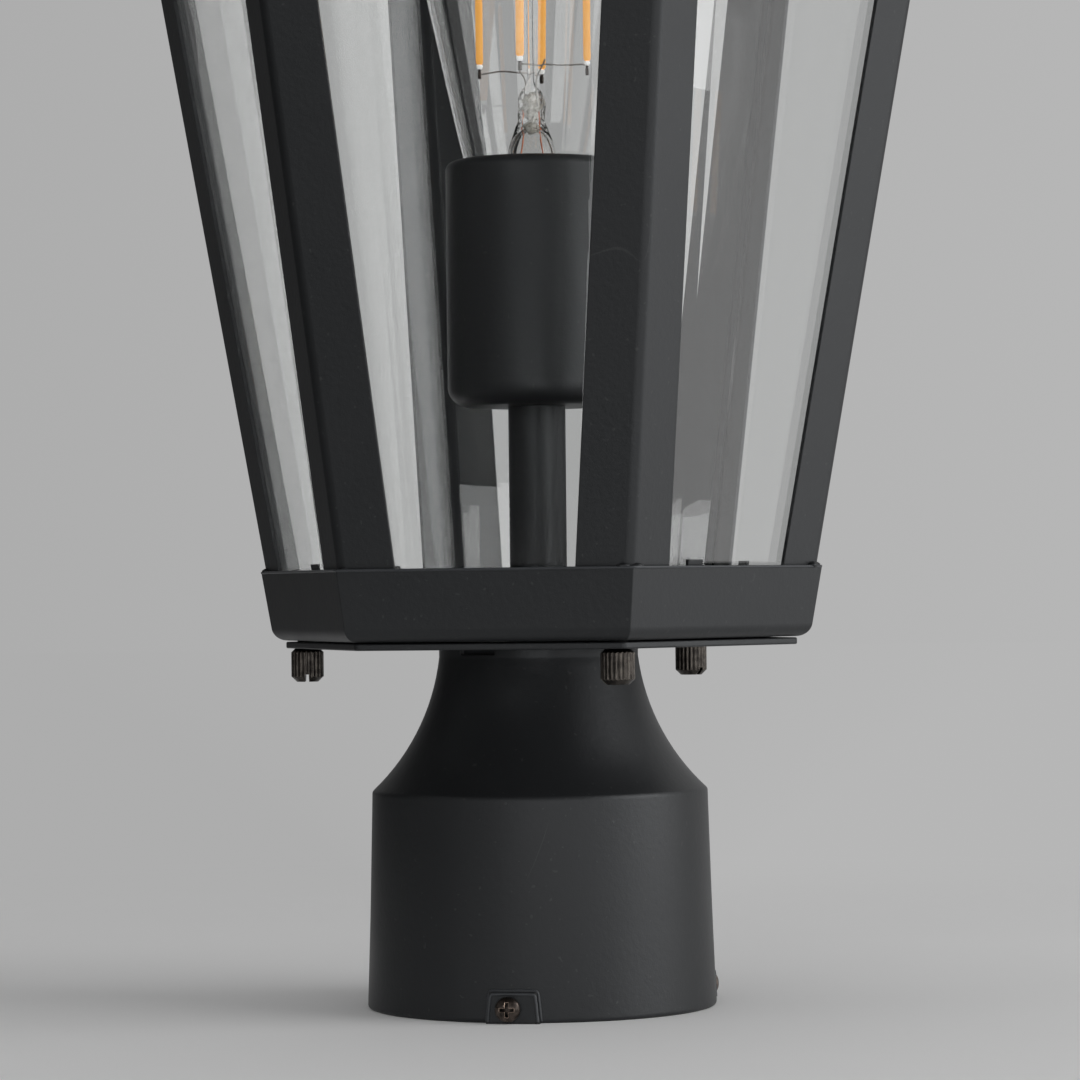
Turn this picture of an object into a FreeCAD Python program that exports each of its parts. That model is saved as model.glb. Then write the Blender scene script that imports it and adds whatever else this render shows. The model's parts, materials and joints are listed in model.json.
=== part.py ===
import FreeCAD, Part
import math
import os
import re

import Sketcher

# Post top lantern: a hexagonal glazed cage on a round fitter that slips over a 76 mm post.
#
# Frame, in millimetres: the origin is the centre of the fitter's bottom rim and +Z is up. The
# cage has a corner on +X and on -X and a flat side towards -Y, which is the front. The whole
# cage lifts off upwards once its three thumb screws are out, past the lamp and the lamp holder,
# which stay on the base.

# Driving dimensions. Radii of six-sided pieces run to the corner.
DIMENSIONS = {
    # post fitter
    "bore_radius": 38.6,
    "bore_depth": 50.0,
    "rim_radius": 42.1,
    "skirt_radius": 41.3,
    "skirt_height": 22.0,
    "shoulder_radius": 40.5,
    "shoulder_height": 52.0,
    "bell_arc": 52.0,
    "bell_top": 84.2,
    "neck_radius": 24.05,
    "neck_inner_radius": 21.4,
    "fitter_height": 86.6,
    "web_thickness": 4.0,
    "pad_foot_width": 12.6,
    "pad_head_width": 11.0,
    "pad_height": 7.3,
    "pad_face": 43.1,
    "set_screw_height": 3.4,
    "set_screw_shift": 1.1,
    "set_screw_radius": 2.0,
    "notch_width": 10.2,
    "notch_height": 1.6,
    "notch_depth": 1.4,
    "notch_turn": 241.0,
    # stem, nipples and their fastenings
    "nipple_radius": 4.8,
    "nipple_bore": 3.5,
    "nipple_overhang": 11.6,
    "nipple_reach": 17.0,
    "nut_radius": 8.0,
    "nut_height": 4.0,
    "stem_radius": 6.45,
    "stem_top": 144.7,
    "ground_screw_offset": 13.5,
    # base plate and thumb screws
    "plate_radius": 63.3,
    "plate_thickness": 1.6,
    "thumb_circle": 57.8,
    "thumb_radius": 3.95,
    "thumb_height": 8.2,
    "thumb_shank": 2.4,
    "thumb_reach": 94.0,
    "flutes": 22.0,
    # lamp holder
    "cup_radius": 21.0,
    "cup_height": 59.3,
    "cup_wall": 1.2,
    "cup_mouth": 18.6,
    "holder_radius": 17.5,
    "holder_cavity": 13.75,
    "shell_radius": 13.65,
    "shell_wall": 0.4,
    # lamp
    "lamp_foot": 164.5,
    "cap_radius": 13.15,
    "cap_top": 190.5,
    "globe_radius": 30.0,
    "globe_wall": 0.8,
    "filament_circle": 12.8,
    "filament_foot": 228.0,
    "filament_length": 37.0,
    "filament_radius": 0.95,
    # cage
    "lift_gap": 0.3,
    "pan_radius": 66.3,
    "pan_height": 16.9,
    "pan_gauge": 0.8,
    "pan_bend": 3.5,
    "pan_hole": 34.0,
    "taper": 0.1796,
    "post_gauge": 1.0,
    "post_flange": 13.1,
    "post_bend": 2.9,
    "post_foot": 92.6,
    "post_head": 354.0,
    "pane_gauge": 3.0,
    "pane_margin": 3.2,
    "pane_edge": 2.6,
    "pane_foot": 93.4,
    "pane_head": 353.5,
    "bevel_foot": 14.0,
    "bevel_head": 20.0,
    "insert_radius": 4.0,
    "insert_height": 3.4,
    "clip_width": 5.2,
    "clip_gauge": 0.9,
    "clip_rise": 1.4,
    # head of the lantern
    "band_foot": 342.0,
    "band_head": 356.0,
    "head_opening": 88.0,
    "soffit_radius": 124.6,
    "eave_radius": 126.0,
    "eave_lip": 7.0,
    "roof_rise": 2.3,
    "roof_gauge": 1.0,
    "roof_top_radius": 20.0,
    "roof_top": 411.0,
    "bar_width": 16.0,
    "bar_gauge": 1.5,
    "bar_reach": 84.0,
    "bar_screw_offset": 80.4,
    "rod_radius": 3.0,
    "rod_top": 437.0,
    "collar_radius": 16.0,
    "collar_height": 9.0,
    "finial_ball": 11.5,
    "finial_neck": 5.2,
    "finial_tip": 4.4,
}

CORNERS = range(6)
FIRST_CORNER = 180
FIRST_FACE = 210
THUMB_CORNERS = (180, 300, 60)
FITTER_TURN = 2.6
SLOT_TURNS = (102, 20, 140)

doc = FreeCAD.newDocument("post_top_lantern")
sheet = doc.addObject("Spreadsheet::Sheet", "dims")
for line, (alias, number) in enumerate(DIMENSIONS.items(), start=1):
    sheet.set("A%d" % line, alias)
    sheet.set("B%d" % line, str(number))
    sheet.setAlias("B%d" % line, alias)
probe = doc.addObject("App::FeaturePython", "probe")
probe.addProperty("App::PropertyFloat", "Reading")
doc.recompute()

KEEP = []


# Expressions are written with the bare names of the sheet's cells.
def bound(text):
    """The expression with each cell name led by the sheet's own name."""
    return re.sub(r"\b([a-z]+_[a-z_]+|taper|flutes)\b", r"dims.\1", text)


def value(text):
    """The number that an expression gives."""
    probe.setExpression("Reading", bound(text))
    if not probe.recompute() or "Invalid" in probe.State:
        raise RuntimeError("no value for " + text)
    return probe.Reading


def minus(text):
    return "-(%s)" % text


# Heights and sizes that follow from the driving dimensions.
ROOT3 = "sqrt(3)"
WEB_FOOT = "fitter_height - web_thickness"
PLATE_TOP = "fitter_height + plate_thickness"
PAN_FOOT = PLATE_TOP + " + lift_gap"
PAN_FLOOR = PAN_FOOT + " + pan_gauge"
PAN_RIM = PAN_FOOT + " + pan_height"
CUP_TOP = "stem_top + cup_height"
FACE_TAPER = "(taper * %s / 2)" % ROOT3
HOLDER_FOOT = "stem_top + cup_wall + 0.6"
HOLDER_FLOOR = "stem_top + 15.3"


def pan_corner(height):
    """Corner radius of the tapering outer skin at a height."""
    return "(pan_radius + taper * (%s - (%s)))" % (height, PAN_FOOT)


def post_corner(height):
    """Corner radius of the posts' outer faces, just inside the pan's wall."""
    return "(%s - (pan_gauge + 0.05) * 2 / %s)" % (pan_corner(height), ROOT3)


def apothem(corner):
    return "(%s * %s / 2)" % (corner, ROOT3)


# ---------------------------------------------------------------- sketches and features
def plane(body, role):
    return [item for item in body.Origin.OriginFeatures if item.Role == role][0]


def pin(sketch, curve, end, way, text):
    """Hold one end of a curve at a distance from the sketch's origin."""
    number = value(text)
    if abs(number) < 1e-9:
        axis = -2 if way == "DistanceX" else -1
        sketch.addConstraint(Sketcher.Constraint("PointOnObject", curve, end, axis))
        return
    if number > 0:
        rule = Sketcher.Constraint(way, -1, 1, curve, end, number)
    else:
        rule = Sketcher.Constraint(way, curve, end, -1, 1, -number)
        text = minus(text)
    index = sketch.addConstraint(rule)
    sketch.setExpression("Constraints[%d]" % index, bound(text))


def arc_between(start, end, radius, side):
    """An arc from start to end with its centre to the left (side 1) or right (side -1)."""
    chord = end - start
    middle = (start + end) / 2
    across = FreeCAD.Vector(-chord.y, chord.x, 0).normalize()
    centre = middle + across * side * math.sqrt(radius ** 2 - (chord.Length / 2) ** 2)
    angles = [math.atan2(point.y - centre.y, point.x - centre.x) for point in (start, end)]
    if side < 0:
        angles.reverse()
    circle = Part.Circle(centre, FreeCAD.Vector(0, 0, 1), radius)
    return Part.ArcOfCircle(circle, angles[0], angles[1])


def outline(sketch, corners):
    """A closed outline. A corner is (x, y), or (x, y, radius, side) where an arc leaves it."""
    points = [FreeCAD.Vector(value(corner[0]), value(corner[1]), 0) for corner in corners]
    count = len(corners)
    first = sketch.GeometryCount
    ends = []
    for index, corner in enumerate(corners):
        start, end = points[index], points[(index + 1) % count]
        if len(corner) == 2:
            sketch.addGeometry(Part.LineSegment(start, end))
            ends.append((1, 2))
        else:
            sketch.addGeometry(arc_between(start, end, value(corner[2]), corner[3]))
            ends.append((1, 2) if corner[3] > 0 else (2, 1))
    for index, corner in enumerate(corners):
        after = (index + 1) % count
        sketch.addConstraint(Sketcher.Constraint(
            "Coincident", first + index, ends[index][1], first + after, ends[after][0]))
        pin(sketch, first + index, ends[index][0], "DistanceX", corner[0])
        pin(sketch, first + index, ends[index][0], "DistanceY", corner[1])
        if len(corner) > 2:
            rule = Sketcher.Constraint("Radius", first + index, value(corner[2]))
            number = sketch.addConstraint(rule)
            sketch.setExpression("Constraints[%d]" % number, bound(corner[2]))


def ring(sketch, x, y, radius):
    """A circle."""
    centre = FreeCAD.Vector(value(x), value(y), 0)
    curve = sketch.addGeometry(Part.Circle(centre, FreeCAD.Vector(0, 0, 1), value(radius)))
    pin(sketch, curve, 3, "DistanceX", x)
    pin(sketch, curve, 3, "DistanceY", y)
    number = sketch.addConstraint(Sketcher.Constraint("Radius", curve, value(radius)))
    sketch.setExpression("Constraints[%d]" % number, bound(radius))


def new_sketch(body, role, offset="0"):
    sketch = body.newObject("Sketcher::SketchObject", body.Name + "_sketch")
    sketch.AttachmentSupport = (plane(body, role), [""])
    sketch.MapMode = "FlatFace"
    sketch.setExpression("AttachmentOffset.Base.z", bound(offset))
    return sketch


def new_body(name):
    body = doc.addObject("PartDesign::Body", name)
    body.Label = name
    return body


def turned(name, corners):
    """A body turned about Z. The corners are (radius, height)."""
    body = new_body(name)
    sketch = new_sketch(body, "XZ_Plane")
    outline(sketch, corners)
    turn = body.newObject("PartDesign::Revolution", name + "_turn")
    turn.Profile = sketch
    turn.ReferenceAxis = (sketch, ["V_Axis"])
    turn.Angle = 360
    doc.recompute()
    return body


def padded(body, sketch, length, **settings):
    pad = body.newObject("PartDesign::Pad", body.Name + "_pad")
    pad.Profile = sketch
    pad.setExpression("Length", bound(length))
    for key, setting in settings.items():
        setattr(pad, key, setting)
    doc.recompute()
    return pad


def pocketed(body, sketch, length, **settings):
    """A pocket, checked to have taken material away."""
    before = body.Shape.Volume
    pocket = body.newObject("PartDesign::Pocket", body.Name + "_pocket")
    pocket.Profile = sketch
    pocket.setExpression("Length", bound(length))
    for key, setting in settings.items():
        setattr(pocket, key, setting)
    doc.recompute()
    if body.Shape.Volume > before - 1e-6:
        raise RuntimeError("a pocket of %s cuts nothing" % body.Name)
    return pocket


def repeated(body, feature, count):
    """The feature repeated round Z."""
    pattern = body.newObject("PartDesign::PolarPattern", body.Name + "_pattern")
    pattern.Originals = [feature]
    pattern.Axis = (plane(body, "Z_Axis"), [""])
    pattern.Angle = 360
    pattern.Occurrences = count
    body.Tip = pattern
    doc.recompute()


def edges_where(shape, test):
    return ["Edge%d" % (number + 1) for number, edge in enumerate(shape.Edges) if test(edge)]


def softened(body, radius, test, kind="Fillet"):
    """Round or chamfer the edges that pass a test."""
    names = edges_where(body.Shape, test)
    if not names:
        raise RuntimeError("no edge of %s to soften" % body.Name)
    base = body.Tip
    feature = body.newObject("PartDesign::" + kind, body.Name + "_" + kind.lower())
    feature.Base = (base, names)
    feature.setExpression("Radius" if kind == "Fillet" else "Size", bound(radius))
    doc.recompute()


def level(height):
    """A test for edges that lie flat at a height."""
    def test(edge):
        box = edge.BoundBox
        return abs(box.ZMin - height) < 1e-3 and abs(box.ZMax - height) < 1e-3
    return test


def hexagon(radius):
    """The six corners of a hexagon with a corner on +X."""
    half = "(%s) / 2" % radius
    rise = "(%s) * %s / 2" % (radius, ROOT3)
    return [(radius, "0"), (half, rise), (minus(half), rise),
            (minus(radius), "0"), (minus(half), minus(rise)), (half, minus(rise))]


def hexagonal(name, outside, inside):
    """A six-sided shell: (corner radius, height) levels of its outside, then of its hollow."""
    body = new_body(name)
    for kind, levels in (("Additive", outside), ("Subtractive", inside)):
        if not levels:
            continue
        sections = []
        for radius, height in levels:
            sketch = new_sketch(body, "XY_Plane", height)
            outline(sketch, hexagon(radius))
            sections.append(sketch)
        loft = body.newObject("PartDesign::%sLoft" % kind, "%s_%s" % (name, kind.lower()))
        loft.Profile = sections[0]
        loft.Sections = sections[1:]
        loft.Ruled = True
        doc.recompute()
    return body


def drilled(body, role, offset, holes, length, **settings):
    """Round holes, each (x, y, radius), cut from one sketch."""
    sketch = new_sketch(body, role, offset)
    for x, y, radius in holes:
        ring(sketch, x, y, radius)
    return pocketed(body, sketch, length, **settings)


def cylinder(name, radius, height, x="0", y="0", z="0"):
    rod = doc.addObject("Part::Cylinder", name)
    rod.setExpression("Radius", bound(radius))
    rod.setExpression("Height", bound(height))
    for way, text in zip("xyz", (x, y, z)):
        rod.setExpression("Placement.Base." + way, bound(text))
    return rod


def joined(kind, name, pieces):
    """A boolean of several pieces: MultiFuse, MultiCommon or Compound."""
    result = doc.addObject("Part::" + kind, name)
    if kind == "Compound":
        result.Links = pieces
    else:
        result.Shapes = pieces
    result.Label = name
    doc.recompute()
    return result


def cut(name, base, tool):
    result = doc.addObject("Part::Cut", name)
    result.Base = base
    result.Tool = tool
    result.Label = name
    doc.recompute()
    return result


def turn_about_z(thing, degrees):
    spin = FreeCAD.Rotation(FreeCAD.Vector(0, 0, 1), degrees)
    thing.Placement = FreeCAD.Placement(FreeCAD.Vector(), spin).multiply(thing.Placement)


def keep(thing):
    """Hand a finished sub-part to the export."""
    KEEP.append(thing)
    return thing


def polar(radius, degrees):
    """The x and y expressions of a point on a circle."""
    return "(%s) * cos(%s)" % (radius, degrees), "(%s) * sin(%s)" % (radius, degrees)


def rotated(along, across, degrees):
    """The x and y expressions of a point (along, across) turned round Z."""
    return ("(%s) * cos(%s) - (%s) * sin(%s)" % (along, degrees, across, degrees),
            "(%s) * sin(%s) + (%s) * cos(%s)" % (along, degrees, across, degrees))


# ---------------------------------------------------------------- base
def make_post_fitter():
    """The cast bell that slips over the post, with three screw pads on its rim."""
    body = turned("post_fitter", [
        ("bore_radius", "0"),
        ("rim_radius", "0"),
        ("skirt_radius", "skirt_height"),
        ("shoulder_radius", "shoulder_height", "bell_arc", -1),
        ("neck_radius", "bell_top"),
        ("neck_radius", "fitter_height"),
        ("nipple_radius + 0.2", "fitter_height"),
        ("nipple_radius + 0.2", WEB_FOOT),
        ("neck_inner_radius", WEB_FOOT, "bell_arc + 2.4", 1),
        ("bore_radius - 1.4", "bore_depth + 1"),
        ("bore_radius", "bore_depth"),
    ])
    softened(body, "0.8", lambda edge: level(0)(edge) and edge.BoundBox.XMax > value("bore_radius + 1"))
    shoulder = value("shoulder_height")
    softened(body, "1.1", lambda edge: level(shoulder)(edge))
    sketch = new_sketch(body, "XZ_Plane", "pad_face")
    outline(sketch, [("-pad_foot_width / 2", "0"), ("pad_foot_width / 2", "0"),
                     ("pad_head_width / 2", "pad_height"), ("-pad_head_width / 2", "pad_height")])
    pad = padded(body, sketch, "pad_face - bore_radius - 1.2", Reversed=True)
    repeated(body, pad, 3)
    hole = drilled(body, "XZ_Plane", "pad_face + 1",
                   [(minus("set_screw_shift"), "set_screw_height", "set_screw_radius + 0.05")], "8")
    repeated(body, hole, 3)
    drilled(body, "XY_Plane", "fitter_height", [(minus("ground_screw_offset"), "0", "1.95")],
            "web_thickness")
    cutter = new_sketch(body, "XY_Plane", "fitter_height")
    outline(cutter, [
        rotated("neck_radius + 2", "-notch_width / 2", "notch_turn"),
        rotated("neck_radius + 2", "notch_width / 2", "notch_turn"),
        rotated("neck_radius - notch_depth", "notch_width / 2", "notch_turn"),
        rotated("neck_radius - notch_depth", "-notch_width / 2", "notch_turn")])
    pocketed(body, cutter, "notch_height")
    turn_about_z(body, FITTER_TURN)
    return keep(body)


def make_nipple(name, foot, length):
    """A hollow threaded pipe that the wires pass through."""
    top = "%s + (%s)" % (foot, length)
    return keep(turned(name, [("nipple_bore", foot), ("nipple_radius", foot),
                              ("nipple_radius", top), ("nipple_bore", top)]))


def make_hex_nut(name, radius, bore, height, foot):
    body = new_body(name)
    sketch = new_sketch(body, "XY_Plane", foot)
    outline(sketch, hexagon(radius))
    ring(sketch, "0", "0", bore)
    padded(body, sketch, height)
    return keep(body)


def make_washer(name, radius, bore, height, foot):
    top = "%s + (%s)" % (foot, height)
    return keep(turned(name, [(bore, foot), (radius, foot), (radius, top), (bore, top)]))


def make_ground_screw():
    """The green earth screw, up through the fitter's web beside the nipple."""
    head = "%s - 2.4" % WEB_FOOT
    body = turned("ground_screw", [
        ("0", head), ("2.6", head), ("3.6", head + " + 0.8"), ("3.6", WEB_FOOT),
        ("1.9", WEB_FOOT), ("1.9", "fitter_height - 0.4"), ("0", "fitter_height - 0.4")])
    sketch = new_sketch(body, "XY_Plane", head)
    outline(sketch, [("-3.7", "-0.5"), ("3.7", "-0.5"), ("3.7", "0.5"), ("-3.7", "0.5")])
    pocketed(body, sketch, "1.2", Reversed=True)
    spin = math.radians(FITTER_TURN)
    offset = value("ground_screw_offset")
    body.Placement = FreeCAD.Placement(
        FreeCAD.Vector(-offset * math.cos(spin), -offset * math.sin(spin), 0), FreeCAD.Rotation())
    return keep(body)


def make_base_plate():
    """The six-sided plate under the cage, with clearance holes for the thumb screws."""
    body = new_body("base_plate")
    sketch = new_sketch(body, "XY_Plane", "fitter_height")
    outline(sketch, hexagon("plate_radius"))
    ring(sketch, "0", "0", "nipple_radius + 0.2")
    padded(body, sketch, "plate_thickness")
    softened(body, "1.5", lambda edge: edge.BoundBox.ZLength > 1 and
             math.hypot(edge.CenterOfMass.x, edge.CenterOfMass.y) > value("nipple_radius + 1"))
    holes = [polar("thumb_circle", corner) + ("thumb_shank + 0.35",) for corner in THUMB_CORNERS]
    drilled(body, "XY_Plane", PLATE_TOP, holes, "plate_thickness")
    softened(body, "0.4", lambda edge: edge.BoundBox.ZLength < 1e-3 and edge.Length > 20 and
             math.hypot(edge.CenterOfMass.x, edge.CenterOfMass.y) > value("thumb_circle") - 12)
    return keep(body)


def make_stem():
    """The tube between the plate and the lamp holder."""
    return keep(turned("stem_tube", [
        ("nipple_radius + 0.05", PLATE_TOP), ("stem_radius", PLATE_TOP),
        ("stem_radius", "stem_top"), ("nipple_radius + 0.05", "stem_top")]))


def make_socket_cup():
    """The black cup round the lamp holder: a rounded foot and a lip drawn in at the mouth."""
    wall = "cup_wall"
    body = turned("socket_cup", [
        ("nipple_radius + 0.1", "stem_top"),
        ("cup_radius - 5", "stem_top", "5", 1),
        ("cup_radius", "stem_top + 5"),
        ("cup_radius", CUP_TOP + " - 2.2", "2.2", 1),
        ("cup_radius - 2.2", CUP_TOP),
        ("cup_mouth", CUP_TOP),
        ("cup_mouth", CUP_TOP + " - " + wall),
        ("cup_radius - 2.2", CUP_TOP + " - " + wall, "1", -1),
        ("cup_radius - " + wall, CUP_TOP + " - 2.2"),
        ("cup_radius - " + wall, "stem_top + 5", "3.8", -1),
        ("cup_radius - 5", "stem_top + " + wall),
        ("nipple_radius + 0.1", "stem_top + " + wall),
    ])
    return keep(body)


def make_lamp_holder():
    """The insulator inside the cup, with a deep well for the screw shell."""
    body = turned("lamp_holder", [
        ("nipple_radius + 0.05", HOLDER_FOOT),
        ("holder_radius - 1.5", HOLDER_FOOT),
        ("holder_radius", HOLDER_FOOT + " + 1.5"),
        ("holder_radius", "stem_top + 40"),
        ("holder_cavity", "stem_top + 40"),
        ("holder_cavity", HOLDER_FLOOR),
        ("nipple_radius + 0.05", HOLDER_FLOOR),
    ])
    height = HOLDER_FOOT + " + 6"
    sketch = new_sketch(body, "YZ_Plane", "holder_radius + 1")
    ring(sketch, "0", height, "1.55")
    hole = pocketed(body, sketch, "7")
    repeated(body, hole, 2)
    return keep(body)


def make_terminal_screws():
    """Two brass screws in the holder's sides, where the leads are fastened."""
    screws = []
    for side, degrees in enumerate((0, 180)):
        shank = cylinder("terminal_shank_%d" % side, "1.5", "5.4")
        head = cylinder("terminal_head_%d" % side, "2.7", "1.6", z="5.4")
        screw = joined("MultiFuse", "terminal_screw_%d" % side, [shank, head])
        lean = FreeCAD.Rotation(FreeCAD.Vector(0, 1, 0), 90)
        start = FreeCAD.Vector(value("holder_radius - 5.4"), 0, value(HOLDER_FOOT + " + 6"))
        screw.Placement = FreeCAD.Placement(start, lean)
        turn_about_z(screw, degrees)
        screws.append(screw)
    return keep(joined("Compound", "terminal_screws", screws))


def make_screw_shell():
    """The thin metal shell that takes the lamp's cap."""
    foot = HOLDER_FLOOR + " + 0.8"
    inner = "shell_radius - shell_wall"
    return keep(turned("screw_shell", [
        (inner, foot), ("shell_radius", foot), ("shell_radius", "stem_top + 39.4"),
        (inner, "stem_top + 39.4")]))


def make_centre_contact():
    """The sprung brass tongue under the lamp's tip, folded up from a riveted foot."""
    floor = HOLDER_FLOOR
    body = new_body("centre_contact")
    sketch = new_sketch(body, "XZ_Plane", "-2.5")
    tip = "lamp_foot - 0.3"
    outline(sketch, [("5.6", floor), ("11.5", floor), ("11.5", floor + " + 0.5"),
                     ("7.6", floor + " + 0.5"), ("4.5", tip), ("-2.5", tip),
                     ("-2.5", tip + " - 0.5"), ("4.1", tip + " - 0.5"), ])
    padded(body, sketch, "5")
    return keep(body)


def make_set_screws():
    """Three pan-head screws that grip the post through the fitter's pads."""
    for number in range(3):
        body = new_body("set_screw_%d" % (number + 1))
        sketch = new_sketch(body, "XZ_Plane")
        tip = "bore_radius + 0.2"
        face = "pad_face + 0.1"
        outline(sketch, [
            ("0", tip), ("set_screw_radius - 0.5", tip), ("set_screw_radius", tip + " + 0.5"),
            ("set_screw_radius", face), ("2.9", face), ("2.9", face + " + 1.1", "3.2", 1),
            ("0", face + " + 2.3")])
        turn = body.newObject("PartDesign::Revolution", body.Name + "_turn")
        turn.Profile = sketch
        turn.ReferenceAxis = (sketch, ["V_Axis"])
        turn.Angle = 360
        doc.recompute()
        recess = new_sketch(body, "XY_Plane", face + " + 2.4")
        arm, half = "1.7", "0.4"
        outline(recess, [
            (arm, minus(half)), (arm, half), (half, half), (half, arm), (minus(half), arm),
            (minus(half), half), (minus(arm), half), (minus(arm), minus(half)),
            (minus(half), minus(half)), (minus(half), minus(arm)), (half, minus(arm)),
            (half, minus(half))])
        pocketed(body, recess, "1.7")
        lean = FreeCAD.Rotation(FreeCAD.Vector(1, 0, 0), 90)
        shift = FreeCAD.Vector(-value("set_screw_shift"), 0, value("set_screw_height"))
        body.Placement = FreeCAD.Placement(shift, lean)
        turn_about_z(body, FITTER_TURN + 120 * number)
        keep(body)


def make_thumb_screws():
    """Three knurled screws that hold the cage down on the base plate."""
    top = "fitter_height - 0.1"
    foot = "fitter_height - thumb_height"
    for number, corner in enumerate(THUMB_CORNERS):
        body = turned("thumb_screw_%d" % (number + 1), [
            ("0", foot), ("thumb_radius - 1.35", foot), ("thumb_radius", foot + " + 1.3", ),
            ("thumb_radius", top + " - 0.9"), ("thumb_radius - 0.9", top),
            ("thumb_shank", top), ("thumb_shank", "thumb_reach - 0.5"),
            ("thumb_shank - 0.5", "thumb_reach"), ("0", "thumb_reach")])
        flute = drilled(body, "XY_Plane", foot + " - 0.5",
                        [("thumb_radius + 0.12", "0", "0.36")], "thumb_height - 0.3",
                        Reversed=True)
        repeated(body, flute, int(value("flutes")))
        sketch = new_sketch(body, "XY_Plane", foot + " - 0.5")
        reach = "thumb_radius + 1"
        outline(sketch, [(minus(reach), "-0.5"), (reach, "-0.5"), (reach, "0.5"),
                         (minus(reach), "0.5")])
        pocketed(body, sketch, "2.3", Reversed=True)
        place = FreeCAD.Vector(value(polar("thumb_circle", corner)[0]),
                               value(polar("thumb_circle", corner)[1]), 0)
        spin = FreeCAD.Rotation(FreeCAD.Vector(0, 0, 1), SLOT_TURNS[number])
        body.Placement = FreeCAD.Placement(place, spin)
        keep(body)


# ---------------------------------------------------------------- lamp
def globe_outline(inset):
    """Half outline of the globe from its neck to its top, moved inwards by the inset."""
    crown = "globe_radius - (%s)" % inset
    return [
        ("13.2 - (%s)" % inset, "cap_top - 5.5"),
        ("13.3 - (%s)" % inset, "cap_top"),
        ("18.3 - (%s)" % inset, "cap_top + 21"),
        ("28.2 - (%s)" % inset, "cap_top + 67.5", "88", 1),
        (crown, "cap_top + 85.2", crown, 1),
        ("0", "cap_top + 85.2 + globe_radius - (%s)" % inset),
    ]


def make_lamp():
    """A clear filament lamp: globe, cap, insulator, tip, glass mount, wires and filaments."""
    globe = globe_outline("0") + list(reversed_outline(globe_outline("globe_wall")))
    keep(turned("bulb_globe", globe))
    cap_foot = "lamp_foot + 4.5"
    inner = "cap_radius - 0.4"
    keep(turned("bulb_cap", [
        ("9.5", cap_foot), ("cap_radius - 1.2", cap_foot), ("cap_radius", cap_foot + " + 1.5"),
        ("cap_radius", "cap_top - 6"), ("13.7", "cap_top - 5"), ("13.7", "cap_top - 0.8"),
        ("13.33", "cap_top - 0.8"), ("13.33", "cap_top - 5.6"), (inner, "cap_top - 6.4"),
        (inner, cap_foot + " + 1.8"), ("9.5", cap_foot + " + 0.6")]))
    keep(turned("bulb_insulator", [
        ("0", "lamp_foot + 1.4"), ("4.4", "lamp_foot + 1.4"), ("9.4", "lamp_foot + 4"),
        ("9.4", cap_foot + " + 0.6"), ("0", cap_foot + " + 0.6")]))
    keep(turned("bulb_contact", [
        ("0", "lamp_foot"), ("2.4", "lamp_foot"), ("4.2", "lamp_foot + 1"),
        ("4.2", "lamp_foot + 1.4"), ("0", "lamp_foot + 1.4")]))
    keep(turned("bulb_mount", [
        ("0", "cap_top - 3"), ("7.5", "cap_top - 3"), ("6.2", "cap_top + 8"),
        ("5.6", "cap_top + 16"), ("3.3", "cap_top + 23.4"), ("3.2", "cap_top + 31"),
        ("1", "cap_top + 34"),
        ("1", "filament_foot + filament_length + 3"), ("0", "filament_foot + filament_length + 3")]))
    make_filaments()


def reversed_outline(corners):
    """The corners in the opposite order, with each arc on the corner that it now leaves."""
    turned_round = []
    for index in range(len(corners) - 1, -1, -1):
        arc = corners[index - 1][2:] if index else ()
        flipped = (arc[0], -arc[1]) if arc else ()
        turned_round.append(corners[index][:2] + flipped)
    return turned_round


def make_filaments():
    """Four upright filaments round the glass mount, each on a wire at its foot and its head."""
    filaments, wires = [], []
    for number in range(4):
        x, y = polar("filament_circle", 90 * number)
        filaments.append(cylinder("filament_%d" % number, "filament_radius", "filament_length",
                                  x, y, "filament_foot"))
        for end, height in enumerate(("filament_foot - 0.6",
                                      "filament_foot + filament_length + 0.6")):
            start_x, start_y = polar("1.05", 90 * number)
            wire = cylinder("wire_%d_%d" % (number, end), "0.35", "filament_circle - 1",
                            start_x, start_y, height)
            wire.Placement.Rotation = FreeCAD.Rotation(90 * number, 90, 0)
            wires.append(wire)
    keep(joined("Compound", "bulb_filaments", filaments))
    keep(joined("Compound", "bulb_wires", wires))


# ---------------------------------------------------------------- cage
def dish(name, foot, rim, floor_apothem, bend):
    """A solid six-sided dish with a rounded foot: what three crossed troughs share."""
    half_foot = "(%s)" % floor_apothem
    half_rim = "(%s + %s * (%s - (%s)))" % (half_foot, FACE_TAPER, rim, foot)
    slant = "sqrt(1 + %s ^ 2)" % FACE_TAPER
    tangent = "((%s) * (%s - %s))" % (bend, slant, FACE_TAPER)
    side_x = "(%s + %s * %s / %s)" % (half_foot, tangent, FACE_TAPER, slant)
    side_z = "(%s + %s / %s)" % (foot, tangent, slant)
    troughs = []
    for turn in range(3):
        sketch = doc.addObject("Sketcher::SketchObject", "%s_trough_%d" % (name, turn))
        outline(sketch, [
            ("-(%s - %s)" % (half_foot, tangent), foot),
            ("%s - %s" % (half_foot, tangent), foot, bend, 1),
            (side_x, side_z),
            (half_rim, rim),
            (minus(half_rim), rim),
            (minus(side_x), side_z, bend, 1),
        ])
        sketch.Placement = FreeCAD.Placement(
            FreeCAD.Vector(), FreeCAD.Rotation(FreeCAD.Vector(1, 0, 0), 90))
        turn_about_z(sketch, 30 + 60 * turn)
        trough = doc.addObject("Part::Extrusion", "%s_extrusion_%d" % (name, turn))
        trough.Base = sketch
        trough.DirMode = "Normal"
        trough.setExpression("LengthFwd", bound("pan_radius * 3"))
        trough.Symmetric = True
        trough.Solid = True
        troughs.append(trough)
    return joined("MultiCommon", name, troughs)


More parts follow.
